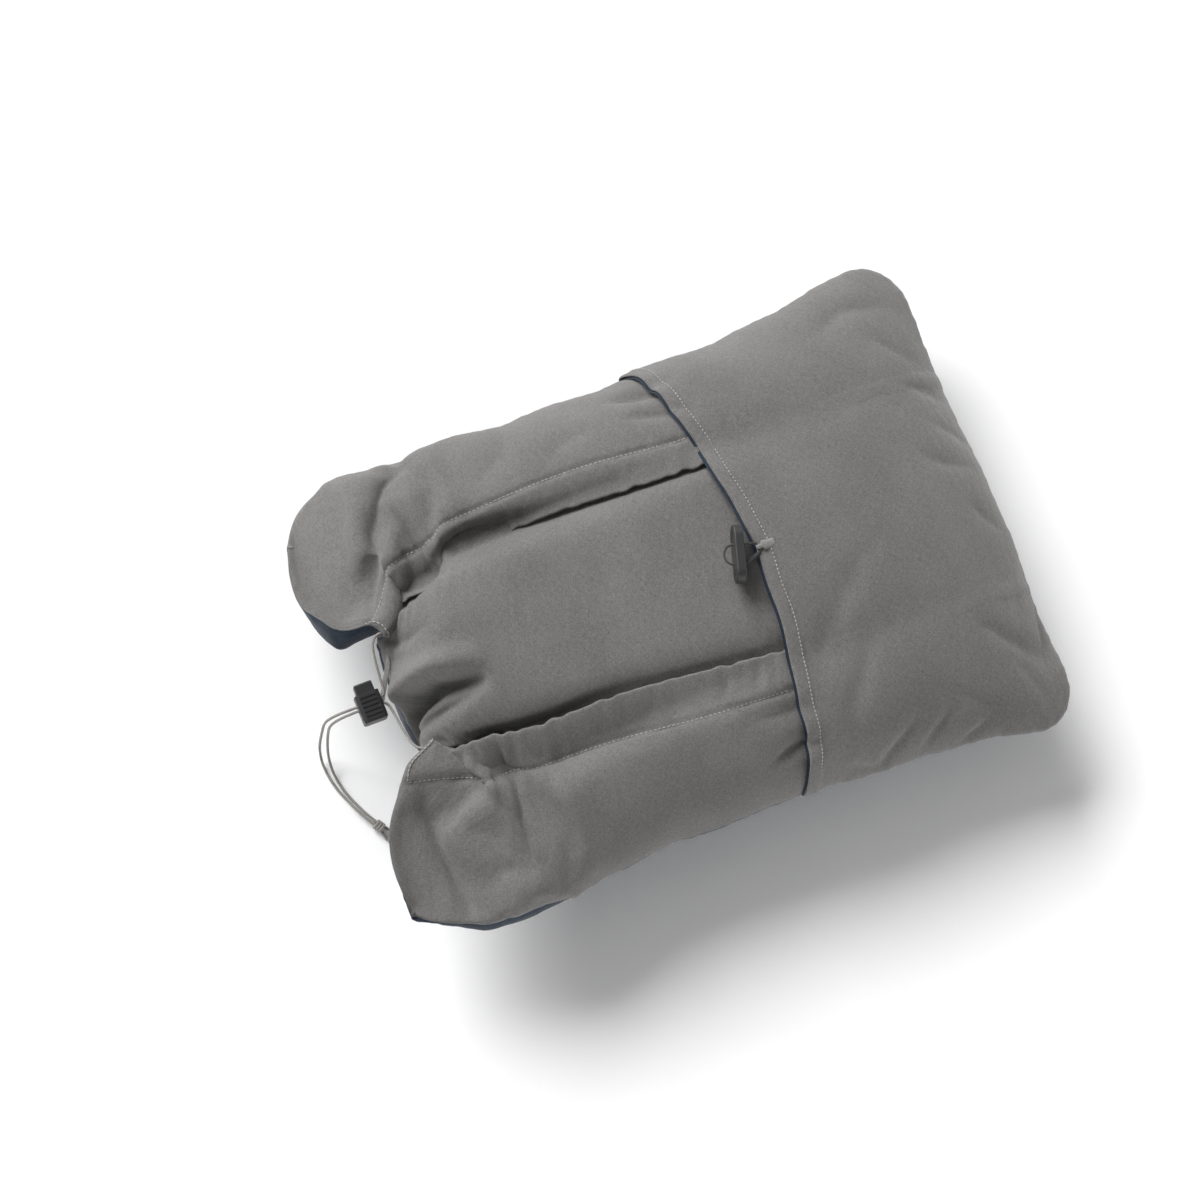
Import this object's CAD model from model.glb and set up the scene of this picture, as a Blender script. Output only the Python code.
from math import cos, pi, radians, sin, tan

import bpy
import numpy as np
from mathutils import Matrix, Vector


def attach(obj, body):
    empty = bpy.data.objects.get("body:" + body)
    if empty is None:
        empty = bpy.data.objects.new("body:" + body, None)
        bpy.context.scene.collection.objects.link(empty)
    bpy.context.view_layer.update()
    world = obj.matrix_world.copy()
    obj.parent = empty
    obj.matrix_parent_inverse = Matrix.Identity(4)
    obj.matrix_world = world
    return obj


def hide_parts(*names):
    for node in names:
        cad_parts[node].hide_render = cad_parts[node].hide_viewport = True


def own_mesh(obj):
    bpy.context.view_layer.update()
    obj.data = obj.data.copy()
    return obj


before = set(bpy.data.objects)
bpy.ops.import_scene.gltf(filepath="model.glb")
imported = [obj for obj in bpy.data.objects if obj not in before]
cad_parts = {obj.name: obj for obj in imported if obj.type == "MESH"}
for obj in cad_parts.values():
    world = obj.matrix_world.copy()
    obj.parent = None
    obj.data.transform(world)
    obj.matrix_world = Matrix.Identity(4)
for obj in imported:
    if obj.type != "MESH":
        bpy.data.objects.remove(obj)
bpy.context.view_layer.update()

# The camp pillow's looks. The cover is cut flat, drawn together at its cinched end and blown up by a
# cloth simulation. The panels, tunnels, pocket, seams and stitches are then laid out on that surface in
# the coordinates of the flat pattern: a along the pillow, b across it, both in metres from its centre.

scene = bpy.context.scene
MM = 0.001


# ---------------------------------------------------------------- camera

def add_camera(back, target, distance, roll, lens):
    """A camera on the line from target along back, turned about its own axis by roll."""
    camera = bpy.data.objects.new("camera", bpy.data.cameras.new("camera"))
    scene.collection.objects.link(camera)
    scene.camera = camera
    away = Vector(back).normalized()
    x_seen = (Vector((1, 0, 0)) - away * away.x).normalized()
    y_seen = away.cross(x_seen)
    turn = radians(roll)
    right = cos(turn) * x_seen - sin(turn) * y_seen
    up = sin(turn) * x_seen + cos(turn) * y_seen
    pose = Matrix((right, up, away)).transposed().to_4x4()
    camera.matrix_world = Matrix.Translation(Vector(target) + away * distance) @ pose
    camera.data.lens = lens


add_camera((-tan(radians(12)), -tan(radians(10.5)), 1), (-0.039, 0.020, 0.060), 2.2, 20.5, 90)


# ---------------------------------------------------------------- materials

class Nodes:
    """A material's node tree, with short calls to add to it."""

    def __init__(self, name):
        self.material = bpy.data.materials.new(name)
        self.material.use_nodes = True
        self.tree = self.material.node_tree
        self.shader = self.tree.nodes["Principled BSDF"]
        self.place = self.add("TexCoord").outputs["Object"]

    def plug(self, value, socket):
        """Gives an input its value, or links another node's output to it."""
        if isinstance(value, bpy.types.NodeSocket):
            self.tree.links.new(value, socket)
        else:
            socket.default_value = value

    def add(self, kind, inputs=None, **settings):
        node = self.tree.nodes.new("ShaderNode" + kind)
        for key, value in settings.items():
            setattr(node, key, value)
        for key, value in (inputs or {}).items():
            self.plug(value, node.inputs[key])
        return node

    def math(self, operation, first, second=0.0, third=0.0):
        return self.add("Math", {0: first, 1: second, 2: third}, operation=operation).outputs[0]

    def ramp(self, factor, *stops):
        ramp = self.add("ValToRGB", {0: factor})
        while len(ramp.color_ramp.elements) < len(stops):
            ramp.color_ramp.elements.new(0.5)
        for element, (place, colour) in zip(ramp.color_ramp.elements, stops):
            element.position = place
            element.color = (*colour, 1)
        return ramp.outputs[0]

    def noise(self, where, scale, detail=4.0, roughness=0.55):
        inputs = {"Vector": where, "Scale": scale, "Detail": detail, "Roughness": roughness}
        return self.add("TexNoise", inputs).outputs["Fac"]

    def mix(self, factor, first, second):
        inputs = {0: factor, 6: (*first, 1), 7: (*second, 1)}
        return self.add("Mix", inputs, data_type="RGBA").outputs[2]

    def bump(self, height, strength, distance, below=None):
        inputs = {"Height": height, "Strength": strength, "Distance": distance}
        if below is not None:
            inputs["Normal"] = below
        return self.add("Bump", inputs).outputs[0]

    def finish(self, **inputs):
        for key, value in inputs.items():
            self.plug(value, self.shader.inputs[key.replace("_", " ")])
        return self.material


def woven_cloth(name, dark, light, thread=0.0008, sheen=0.25, roughness=0.85):
    """Matte plain weave, with heathered yarn and faint handling creases. The weave follows the UVs,
    which are metres of the flat pattern."""
    n = Nodes(name)
    uv = n.add("UVMap", uv_map="pattern").outputs[0]
    axes = n.add("SeparateXYZ", {0: uv})
    warp = n.math("SINE", n.math("MULTIPLY", axes.outputs[0], 2 * pi / thread))
    weft = n.math("SINE", n.math("MULTIPLY", axes.outputs[1], 2 * pi / thread))
    weave = n.math("MULTIPLY_ADD", n.math("MULTIPLY", warp, weft), 0.5, 0.5)
    along = n.add("Mapping", {"Vector": uv, "Scale": (240, 1900, 1)}).outputs[0]
    across = n.add("Mapping", {"Vector": uv, "Scale": (1900, 240, 1)}).outputs[0]
    yarn = n.math("ADD", n.noise(along, 1, 2), n.noise(across, 1, 2))
    cloudy = n.noise(n.place, 16, 3)
    grain = n.noise(n.place, 1100, 2, 0.6)
    tone = n.math("MULTIPLY_ADD", yarn, 0.60, n.math("MULTIPLY_ADD", cloudy, 0.34, -0.26))
    tone = n.math("ADD", tone, n.math("MULTIPLY_ADD", grain, 0.8, -0.40))
    tone = n.math("MULTIPLY_ADD", weave, 0.14, n.math("SUBTRACT", tone, 0.07))
    colour = n.ramp(tone, (0.18, dark), (0.82, light))
    creases = n.noise(n.add("Mapping", {"Vector": uv, "Scale": (60, 26, 1)}).outputs[0], 1, 3)
    normal = n.bump(creases, 0.7, 0.0030)
    normal = n.bump(n.noise(n.place, 900, 2), 0.35, 0.0003, normal)
    normal = n.bump(weave, 0.5, 0.00022, normal)
    rough = n.math("MULTIPLY_ADD", cloudy, 0.12, roughness - 0.06)
    return n.finish(
        Base_Color=colour, Roughness=rough, Normal=normal,
        Sheen_Weight=sheen, Sheen_Roughness=0.45, Specular_IOR_Level=0.25,
    )


def braided_cord(name, dark, light, pitch=0.0021):
    """Round braid: two sets of strands crossing over along the cord."""
    n = Nodes(name)
    axes = n.add("SeparateXYZ", {0: n.place})
    one = n.math("ADD", n.math("ADD", axes.outputs[0], axes.outputs[1]), axes.outputs[2])
    two = n.math("SUBTRACT", n.math("SUBTRACT", axes.outputs[0], axes.outputs[1]), axes.outputs[2])
    one = n.math("SINE", n.math("MULTIPLY", one, 2 * pi / pitch))
    two = n.math("SINE", n.math("MULTIPLY", two, 2 * pi / pitch))
    braid = n.math("MULTIPLY_ADD", n.math("MULTIPLY", one, two), 0.5, 0.5)
    fleck = n.noise(n.place, 700, 2)
    tone = n.math("MULTIPLY_ADD", braid, 0.6, n.math("MULTIPLY", fleck, 0.5))
    colour = n.ramp(tone, (0.15, dark), (0.85, light))
    normal = n.bump(braid, 0.8, 0.0003)
    return n.finish(Base_Color=colour, Roughness=0.75, Normal=normal, Sheen_Weight=0.2)


def moulded_plastic(name, base, worn, roughness=0.42):
    """Injection-moulded plastic: fine spark texture, paler where edges have rubbed."""
    n = Nodes(name)
    edge = n.add("NewGeometry").outputs["Pointiness"]
    rubbed = n.ramp(edge, (0.54, (0, 0, 0)), (0.66, (1, 1, 1)))
    scuffs = n.math("MULTIPLY", rubbed, n.math("MULTIPLY", n.noise(n.place, 1200, 3), 0.5))
    colour = n.mix(scuffs, base, worn)
    mottled = n.noise(n.place, 90, 3)
    rough = n.math("MULTIPLY_ADD", mottled, 0.12, roughness - 0.06)
    normal = n.bump(n.noise(n.place, 2600, 2), 0.25, 0.0001)
    return n.finish(Base_Color=colour, Roughness=rough, Normal=normal)


def spring_metal(name):
    n = Nodes(name)
    colour = n.ramp(n.noise(n.place, 300, 3), (0.3, (0.42, 0.42, 0.43)), (0.7, (0.62, 0.62, 0.63)))
    normal = n.bump(n.noise(n.place, 1500, 2), 0.2, 0.00005)
    return n.finish(Base_Color=colour, Metallic=1.0, Roughness=0.3, Normal=normal)


def sewing_thread(name, dark, light):
    """Twisted two-ply thread."""
    n = Nodes(name)
    colour = n.ramp(n.noise(n.place, 1800, 2), (0.35, dark), (0.65, light))
    normal = n.bump(n.noise(n.place, 3500, 2), 0.5, 0.00012)
    return n.finish(Base_Color=colour, Roughness=0.6, Normal=normal, Sheen_Weight=0.15)


def studio_floor(name):
    n = Nodes(name)
    colour = n.ramp(n.noise(n.place, 6, 2), (0.3, (0.93, 0.93, 0.93)), (0.7, (0.95, 0.95, 0.95)))
    return n.finish(Base_Color=colour, Roughness=0.9)


grey_cloth = woven_cloth("grey_cloth", (0.081, 0.078, 0.075), (0.208, 0.203, 0.196))
navy_cloth = woven_cloth("navy_cloth", (0.010, 0.016, 0.026), (0.030, 0.044, 0.066), sheen=0.15)
light_cord = braided_cord("grey_braid", (0.10, 0.095, 0.09), (0.34, 0.32, 0.30))
elastic = braided_cord("elastic_braid", (0.012, 0.012, 0.012), (0.070, 0.068, 0.065), 0.0014)
webbing = woven_cloth("grey_webbing", (0.16, 0.16, 0.155), (0.40, 0.39, 0.375), thread=0.0011)
thread = sewing_thread("grey_thread", (0.24, 0.235, 0.225), (0.46, 0.45, 0.43))
tack_thread = sewing_thread("dark_thread", (0.13, 0.128, 0.122), (0.27, 0.265, 0.255))
black_plastic = moulded_plastic("black_plastic", (0.012, 0.012, 0.013), (0.07, 0.07, 0.07))
dark_plastic = moulded_plastic("dark_plastic", (0.022, 0.022, 0.022), (0.17, 0.17, 0.165), 0.5)
steel = spring_metal("spring_metal")


# ---------------------------------------------------------------- drawcord

CORD = 0.002  # the cord's diameter


def free_cord(name, route, nodes):
    """A cord as one smooth curve. The route's points, in millimetres, are its control points."""
    curve = bpy.data.curves.new(name, "CURVE")
    curve.dimensions = "3D"
    spline = curve.splines.new("NURBS")
    spline.points.add(len(route) - 1)
    for point, (x, y, z) in zip(spline.points, route):
        point.co = (x * MM, y * MM, z * MM, 1)
    spline.order_u = 3
    spline.use_endpoint_u = True
    curve.resolution_u = 12
    curve.bevel_depth = CORD / 2
    curve.bevel_resolution = 5
    curve.use_fill_caps = True
    curve.materials.append(light_cord)
    cord = bpy.data.objects.new(name, curve)
    scene.collection.objects.link(cord)
    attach(cord, "pillow")
    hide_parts(*nodes)


left_route = [
    (-205, 44, 108.209), (-209.6, 44, 108.209), (-213.8, 38, 106), (-215.4, 28, 104),
    (-216.2, 17.5, 101.8), (-216.8, 9, 100.4), (-217.8, 3.6, 100), (-221.6, 1.5, 100),
    (-229.5, 1.35, 100), (-243, 1.5, 100), (-253, 1.8, 98), (-260, 2.2, 90.5),
    (-262.6, 2.6, 79), (-263, 2.8, 61), (-263.4, 2.4, 41), (-264.2, 1.4, 22),
    (-265.6, -2.5, 9.5), (-266.6, -11, 2.8), (-265.8, -22, 1.4), (-263, -34, 1.3),
    (-258.6, -45, 1.6), (-253.42, -57.86, 4.2), (-248.32, -66.46, 4.2),
]
right_route = [
    (-205, -44, 108.209), (-209.2, -44, 108.209), (-213.2, -38.4, 106.2), (-214.9, -28.6, 104.2),
    (-216, -18, 101.7), (-216.7, -9.2, 100.3), (-217.8, -3.7, 100), (-221.6, -1.5, 100),
    (-229.5, -1.35, 100), (-242.4, -1.5, 100), (-252.4, -1.5, 97.6), (-258.6, -1.4, 89.5),
    (-260.6, -1.5, 78), (-260.8, -1.9, 60), (-260.5, -2.4, 41), (-260.6, -4.2, 23),
    (-261.4, -9.5, 10.5), (-261.8, -18, 3.6), (-260.8, -28, 1.5), (-258.2, -38.5, 1.3),
    (-254.4, -48, 1.9), (-250.16, -58.26, 4.2), (-246.08, -65.14, 4.2),
]


# ---------------------------------------------------------------- the cover, cut, cinched and filled

LENGTH, WIDTH = 0.584, 0.419  # of the flat pattern
CORNER = 0.045  # radius of the pattern's corners
CELL = 0.009  # of the simulated cloth
CORD_LINE = 0.092  # where the drawcord runs in the pattern, from its middle line
EXIT = np.array([-0.205, 0.044, 0.1082])  # where it leaves the pillow, mirrored for the other side
HALF_LENGTH, HALF_WIDTH = 0.258, 0.167  # of the filled pillow, before it is settled
SEAM_Z, CROWN, BELLY = 0.060, 0.075, 0.066  # the seam's height, and how far the cloth stands off it
FLAT_GAP = 0.004  # between the two sides of the flat cover
DRAWN_BY, EASED_BY, FRAMES = 12, 24, 40  # frames of the simulation

columns, rows = 2 * round(LENGTH / CELL / 2), 2 * round(WIDTH / CELL / 2)
cut_a = np.linspace(-LENGTH / 2, LENGTH / 2, columns + 1)
cut_b = np.linspace(-WIDTH / 2, WIDTH / 2, rows + 1)


def smooth(t):
    t = np.clip(t, 0, 1)
    return t * t * (3 - 2 * t)


def rounded(a, b):
    """The pattern's point at a, b, with its corners cut round."""
    far_a, far_b = LENGTH / 2 - CORNER, WIDTH / 2 - CORNER
    s = np.maximum(0, (abs(a) - far_a) / CORNER)
    t = np.maximum(0, (abs(b) - far_b) / CORNER)
    corner = (s > 0) & (t > 0)
    along = np.where(corner, far_a + CORNER * s * np.sqrt(1 - t * t / 2), abs(a))
    across = np.where(corner, far_b + CORNER * t * np.sqrt(1 - s * s / 2), abs(b))
    return np.sign(a) * along, np.sign(b) * across


flat_a, flat_b = rounded(*np.meshgrid(cut_a, cut_b, indexing="ij"))


def edge_distance(a, b):
    """How far a point of the pattern is from the seam round its edge."""
    return np.minimum(LENGTH / 2 - abs(a), WIDTH / 2 - abs(b))


def fullness(x):
    """How much of its full height the pillow has at x."""
    return np.sqrt(np.maximum(0, 1 - abs(x / HALF_LENGTH) ** 3))


def along_crown(share):
    """x at that share of the way from the middle to the end, measured over the crown."""
    x = np.linspace(0, HALF_LENGTH, 400)
    way = np.concatenate([[0], np.cumsum(np.hypot(np.diff(x), np.diff(CROWN * fullness(x))))])
    return np.interp(share, way / way[-1], x)


def section(share, width, rise):
    """y and height above the seam, at that share of the way from the crown to the seam."""
    s = np.linspace(0, 1, 60)[:, None]
    y = 3 * (1 - s) ** 2 * s * 0.7 * width + 3 * (1 - s) * s * s * width + s**3 * width
    z = (1 - s) ** 3 * rise + 3 * (1 - s) ** 2 * s * rise + 3 * (1 - s) * s * s * 0.62 * rise
    steps = np.hypot(np.diff(y, axis=0), np.diff(z, axis=0))
    way = np.concatenate([np.zeros((1, len(width))), np.cumsum(steps, axis=0)])
    way /= way[-1]
    found = [
        (np.interp(share[i], way[:, i], y[:, i]), np.interp(share[i], way[:, i], z[:, i]))
        for i in range(len(width))
    ]
    return np.array([f[0] for f in found]), np.array([f[1] for f in found])


def drawn_shape(side):
    """The shape that the filled cover is drawn towards, for the back (side 1) or the face (side -1)."""
    share_a, share_b = abs(flat_a) / (LENGTH / 2), abs(flat_b) / (WIDTH / 2)
    edge = smooth(share_b)
    x = np.sign(flat_a) * (along_crown(share_a) * (1 - edge) + HALF_LENGTH * share_a * edge)
    middle = x[:, rows // 2]
    flare = np.where(middle > 0, 0.024, 0.016)
    width = HALF_WIDTH + flare * abs(middle / HALF_LENGTH) ** 3
    rise = (CROWN if side > 0 else BELLY) * np.maximum(fullness(middle), 0.02)
    y, z = section(share_b, width, rise)
    z = SEAM_Z + side * z
    across = abs(flat_b)
    if side > 0:
        depth = np.interp(flat_a, [-0.292, -0.2, -0.05, 0.06, 0.292], [0.030, 0.028, 0.012, 0.004, 0])
        z -= depth * np.exp(-(((across - 0.086) / 0.016) ** 2)) * np.clip(fullness(x), 0, 1)
    # the cinched end: the cords pull the middle of the end seam in and up
    pull = smooth((-0.110 - flat_a) / 0.182)
    inner = across <= CORD_LINE
    inner_y = np.sin(np.clip(across / CORD_LINE, 0, 1) * pi / 2) * EXIT[1]
    cord_y = np.interp(CORD_LINE, cut_b[rows // 2:], y[0, rows // 2:])
    fall = np.clip((across - CORD_LINE) / (WIDTH / 2 - CORD_LINE), 0, 1)
    outer_y = y - (cord_y - EXIT[1]) * (1 - fall) ** 1.5
    y = y * (1 - pull) + np.where(inner, inner_y, outer_y) * pull
    x = x + 0.052 * pull**1.5 * np.where(inner, 1, 1 - smooth((across - CORD_LINE) / 0.062))
    lift = smooth((-0.200 - flat_a) / 0.092)
    middle_z = EXIT[2] - 0.060 * np.cos(np.clip(across / CORD_LINE, 0, 1) * pi / 2)
    lobe_z = SEAM_Z + (EXIT[2] - SEAM_Z) * (1 - smooth((across - CORD_LINE) / 0.08))
    z = z + (np.where(inner, middle_z, lobe_z) - SEAM_Z) * lift
    return np.stack([x, np.sign(flat_b) * y, z], -1)


back_ids = np.arange((columns + 1) * (rows + 1)).reshape(columns + 1, rows + 1)
inside = np.zeros(back_ids.shape, bool)
inside[1:-1, 1:-1] = True
face_ids = back_ids.copy()
face_ids[inside] = back_ids.size + np.arange(inside.sum())


def quads(ids, flipped=False):
    a, b, c, d = ids[:-1, :-1], ids[1:, :-1], ids[1:, 1:], ids[:-1, 1:]
    order = [a, d, c, b] if flipped else [a, b, c, d]
    return np.stack(order, -1).reshape(-1, 4)


def fill_cover():
    """The cover's points after it has been sewn, drawn together and filled."""
    back, face = drawn_shape(1), drawn_shape(-1)
    face[..., 2] = np.maximum(face[..., 2], 0)
    drawn = np.vstack([back.reshape(-1, 3), face[inside]])
    puff = FLAT_GAP * (1 - (flat_a / (LENGTH / 2)) ** 2) * (1 - (flat_b / (WIDTH / 2)) ** 2)
    flat_back = np.stack([flat_a, flat_b, SEAM_Z + np.clip(puff, 0, 1)], -1)
    flat_face = np.stack([flat_a, flat_b, np.full_like(flat_a, SEAM_Z - FLAT_GAP)], -1)
    start = np.vstack([flat_back.reshape(-1, 3), flat_face[inside]])
    mesh = bpy.data.meshes.new("cover")
    faces = np.vstack([quads(back_ids), quads(face_ids, True)])
    mesh.from_pydata(start.tolist(), [], faces.tolist())
    cover = bpy.data.objects.new("cover", mesh)
    scene.collection.objects.link(cover)

    cover.shape_key_add(name="Basis")
    key = cover.shape_key_add(name="drawn")
    key.data.foreach_set("co", drawn.astype(np.float32).ravel())
    key.value = 0
    key.keyframe_insert("value", frame=1)
    key.value = 1
    key.keyframe_insert("value", frame=DRAWN_BY)
    hold_cloth(cover)
    run_cloth(cover)
    filled = cover.evaluated_get(bpy.context.evaluated_depsgraph_get()).to_mesh()
    points = np.zeros(len(filled.vertices) * 3, np.float32)
    filled.vertices.foreach_get("co", points)
    bpy.data.objects.remove(cover)
    bpy.data.meshes.remove(mesh)
    scene.frame_set(1)
    return points.reshape(-1, 3).astype(float), drawn


def hold_cloth(cover):
    """Weights: how firmly each point is drawn to its place, and how far the cord shrinks the cloth."""
    pin = cover.vertex_groups.new(name="pin")
    everywhere_a = np.concatenate([flat_a.ravel(), flat_a[inside]])
    holds = 0.2 * np.interp(everywhere_a, [-0.292, -0.15, -0.05], [0.5, 0.5, 1.0])
    everywhere_b = np.concatenate([flat_b.ravel(), flat_b[inside]])
    from_exit = np.hypot(everywhere_a + LENGTH / 2, abs(everywhere_b) - CORD_LINE)
    holds = np.maximum(holds, 0.95 * np.exp(-((from_exit / 0.020) ** 2)))
    for index, hold in enumerate(holds):
        pin.add([index], float(hold), "REPLACE")
    shrink = cover.vertex_groups.new(name="shrink")
    for side in (1, -1):
        row = int(np.argmin(abs(cut_b - side * CORD_LINE)))
        pin.add([int(back_ids[0, row])], 1.0, "REPLACE")
        for column in range(columns + 1):
            share = np.interp(cut_a[column], [-0.292, -0.12, 0.03, 0.1, 0.292], [1, 0.9, 0.5, 0.3, 0.2])
            shrink.add([int(back_ids[column, row])], float(share), "REPLACE")


def run_cloth(cover):
    """Fills the cover: pressure from inside, with the hold on its points eased once it is drawn in."""
    cloth = cover.modifiers.new("cloth", "CLOTH")
    s = cloth.settings
    s.quality = 6
    s.mass = 0.3
    s.air_damping = 2
    s.tension_stiffness, s.compression_stiffness, s.shear_stiffness = 40, 20, 8
    s.tension_damping = s.compression_damping = s.shear_damping = 5
    s.bending_model = "ANGULAR"
    s.bending_stiffness, s.bending_damping = 0.3, 0.5
    s.use_pressure = True
    s.uniform_pressure_force = 7
    s.effector_weights.gravity = 0
    s.vertex_group_mass = "pin"
    s.vertex_group_shrink = "shrink"
    s.shrink_min, s.shrink_max = 0, 0.12
    s.pin_stiffness = 20
    s.keyframe_insert("pin_stiffness", frame=DRAWN_BY)
    s.pin_stiffness = 5
    s.keyframe_insert("pin_stiffness", frame=EASED_BY)
    cloth.collision_settings.use_collision = False
    cloth.collision_settings.use_self_collision = False
    cloth.point_cache.frame_start, cloth.point_cache.frame_end = 1, FRAMES
    scene.frame_start, scene.frame_end = 1, FRAMES
    for number in range(1, FRAMES + 1):
        scene.frame_set(number)


def smooth_grid(grid, share):
    """Moves each point of a grid, in place, by its share of the way to the middle of its neighbours."""
    mean = grid.copy()
    mean[1:-1, 1:-1] = (grid[:-2, 1:-1] + grid[2:, 1:-1] + grid[1:-1, :-2] + grid[1:-1, 2:]) / 4
    grid += share[..., None] * (mean - grid)


def eased(points, drawn, share, rounds=26):
    """Points with the small ripples taken out of their difference from the drawn shape."""
    off = points - drawn
    for _ in range(rounds):
        smooth_grid(off, share)
    return drawn + off


def round_corners(back, face):
    """Draws the pattern's four corners back to the line of the seam beside them."""
    for _ in range(2):
        for i, next_i, last_i in ((0, 1, 2), (-1, -2, -3)):
            for j, next_j, last_j in ((0, 1, 2), (-1, -2, -3)):
                for grid in (back, face):
                    grid[i, j] = (grid[next_i, j] + grid[i, next_j]) / 2
                    grid[next_i, j] = grid[next_i, j] / 2 + (grid[i, j] + grid[last_i, j]) / 4
                    grid[i, next_j] = grid[i, next_j] / 2 + (grid[i, j] + grid[i, last_j]) / 4


def eased_seam(points, drawn):
    """Points with the sharpest kinks taken out of the seam round their edge."""
    off = points - drawn
    for _ in range(4):
        for edge in (off[:, 0], off[:, -1], off[0], off[-1]):
            edge[1:-1] = edge[1:-1] / 2 + (edge[:-2] + edge[2:]) / 4
    return drawn + off


filled, drawn = fill_cover()
back_grid = eased_seam(filled[back_ids], drawn[back_ids])
face_grid = eased_seam(filled[face_ids], drawn[face_ids])
round_corners(back_grid, face_grid)
# how much the ripples are eased: more where the cloth is taut, in the middle and at the cord's exits
taut = smooth((flat_a + 0.15) / 0.16) * 0.70 + 0.04
taut *= 1 - 0.55 * smooth((abs(flat_b) - 0.16) / 0.04)
centre = 0.7 * smooth((0.080 - abs(flat_b)) / 0.02)
at_exit = 0.6 * np.exp(-((flat_a + LENGTH / 2) ** 2 + (abs(flat_b) - CORD_LINE) ** 2) / 0.036**2)
back_grid = eased(back_grid, drawn[back_ids], np.maximum(np.maximum(taut, centre), at_exit))
face_grid = eased(face_grid, drawn[face_ids], np.maximum(taut, at_exit))


def settle(points):
    """The last of the shape: how far the ends stand out, the lock's room and the floor."""
    x, y, z = (points[..., i].copy() for i in range(3))
    z = SEAM_Z + (z - SEAM_Z) * np.where(z > SEAM_Z, TALLER, 1)
    x += 0.008 * smooth(x / 0.25) + 0.005 * smooth((x - 0.19) / 0.05) * smooth((y - 0.06) / 0.08)
    lobe = smooth((-0.17 - x) / 0.07) * smooth((-y - 0.05) / 0.08)
    x -= 0.012 * lobe
    y -= 0.010 * lobe
    cheek = smooth((-0.18 - x) / 0.025) * smooth((-y - 0.043) / 0.011) * smooth((y + 0.16) / 0.06)
    x -= 0.021 * cheek * smooth((z - 0.012) / 0.035)
    y -= 0.008 * smooth((-0.11 - x) / 0.04) * smooth((x + 0.235) / 0.03) * smooth((-y - 0.11) / 0.05)
    shoulder = smooth((-0.15 - x) / 0.05) * smooth((0.262 + x) / 0.04) * smooth((y - 0.09) / 0.07)
    y += 0.009 * shoulder
    x += 0.006 * smooth((-0.215 - x) / 0.03) * smooth((y - 0.12) / 0.05)
    chin = smooth((-0.190 - x) / 0.03) * smooth((0.155 - y) / 0.05) * smooth((y - 0.042) / 0.024)
    x -= 0.018 * chin
    y -= 0.022 * chin + 0.014 * chin * smooth((0.098 - z) / 0.03) * smooth((z - 0.01) / 0.02)
    # the seam rides up round the right lobe, and shows the face below it
    z += 0.010 * smooth((-0.11 - x) / 0.07) * smooth((-y - 0.13) / 0.04) * smooth((z - 0.02) / 0.03)
    # and sinks behind the left one, which the back's cloth wraps round
    under = smooth((-0.19 - x) / 0.04) * smooth((y - 0.07) / 0.05)
    z -= 0.026 * under * smooth(z / 0.065) * smooth((0.115 - z) / 0.04)
    # room for the cord lock between the lobes
    near = smooth((0.050 - abs(y)) / 0.012) * smooth((z - 0.01) / 0.03)
    wall = -0.2075
    over = np.maximum(0, wall - x + 0.006)
    x = x + near * np.where(over > 0, over - 0.006 * (1 - np.exp(-over / 0.006)), 0)
    rest = 0.010
    z = np.where(z < rest, rest * np.exp((z - rest) / rest), z)
    return np.stack([x, y, z], -1)


HEM_A, HEM_HEIGHT = 0.055, 0.1335  # the back's height at the pocket's mouth is scaled to this
hem_column = int(np.argmin(abs(cut_a - HEM_A)))
TALLER = (HEM_HEIGHT - SEAM_Z) / (back_grid[hem_column, rows // 2, 2] - SEAM_Z)
back_grid, face_grid = settle(back_grid), settle(face_grid)


def relax_tips(back, face):
    """Takes the troughs out of the cloth at the tips of the two lobes."""
    share = 0.8 * smooth((-0.222 - flat_a) / 0.035) * smooth((abs(flat_b) - 0.125) / 0.04)
    for _ in range(14):
        smooth_grid(back, share)
        smooth_grid(face, share)
        for line in ((slice(None), 0), (slice(None), -1), (0, slice(None))):
            for grid in (back, face):
                edge, part = grid[line], share[line][1:-1, None] * 0.5
                edge[1:-1] += part * ((edge[:-2] + edge[2:]) / 2 - edge[1:-1])


def raise_seams(back, face):
    """Draws the seams of the lobes in and up, so that the face shows below them."""
    to_seam = edge_distance(flat_a, flat_b)
    near_seam = np.exp(-to_seam / 0.016)
    right = near_seam * smooth((-0.12 - flat_a) / 0.06) * smooth((-flat_b - 0.15) / 0.03)
    left = near_seam * smooth((-0.262 - flat_a) / 0.02)
    left = left * smooth((flat_b - 0.098) / 0.01) * smooth((0.165 - flat_b) / 0.03)
    for grid in (back, face):
        grid += right[..., None] * np.array([0.001, 0.004, 0.008])
        grid += left[..., None] * np.array([0.004, 0.006, 0.004])
    # the lobes' own fullness, below the seam
    belly = smooth(to_seam / 0.018) * smooth((0.075 - to_seam) / 0.04) * smooth((-0.13 - flat_a) / 0.06)
    right = belly * smooth((-flat_b - 0.10) / 0.05)
    left = belly * smooth((flat_b - 0.09) / 0.02) * smooth((0.18 - flat_b) / 0.03)
    face += right[..., None] * np.array([-0.001, -0.0065, 0])
    face += left[..., None] * np.array([-0.004, -0.0085, 0])
    lobe = smooth((-0.15 - flat_a) / 0.06) * smooth((-flat_b - 0.12) / 0.06)
    for grid in (back, face):
        grid[..., 1] -= 0.006 * lobe
    face[..., 2] = np.maximum(face[..., 2], 0.0004)


relax_tips(back_grid, face_grid)
raise_seams(back_grid, face_grid)


# ---------------------------------------------------------------- the surface in pattern coordinates

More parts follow.
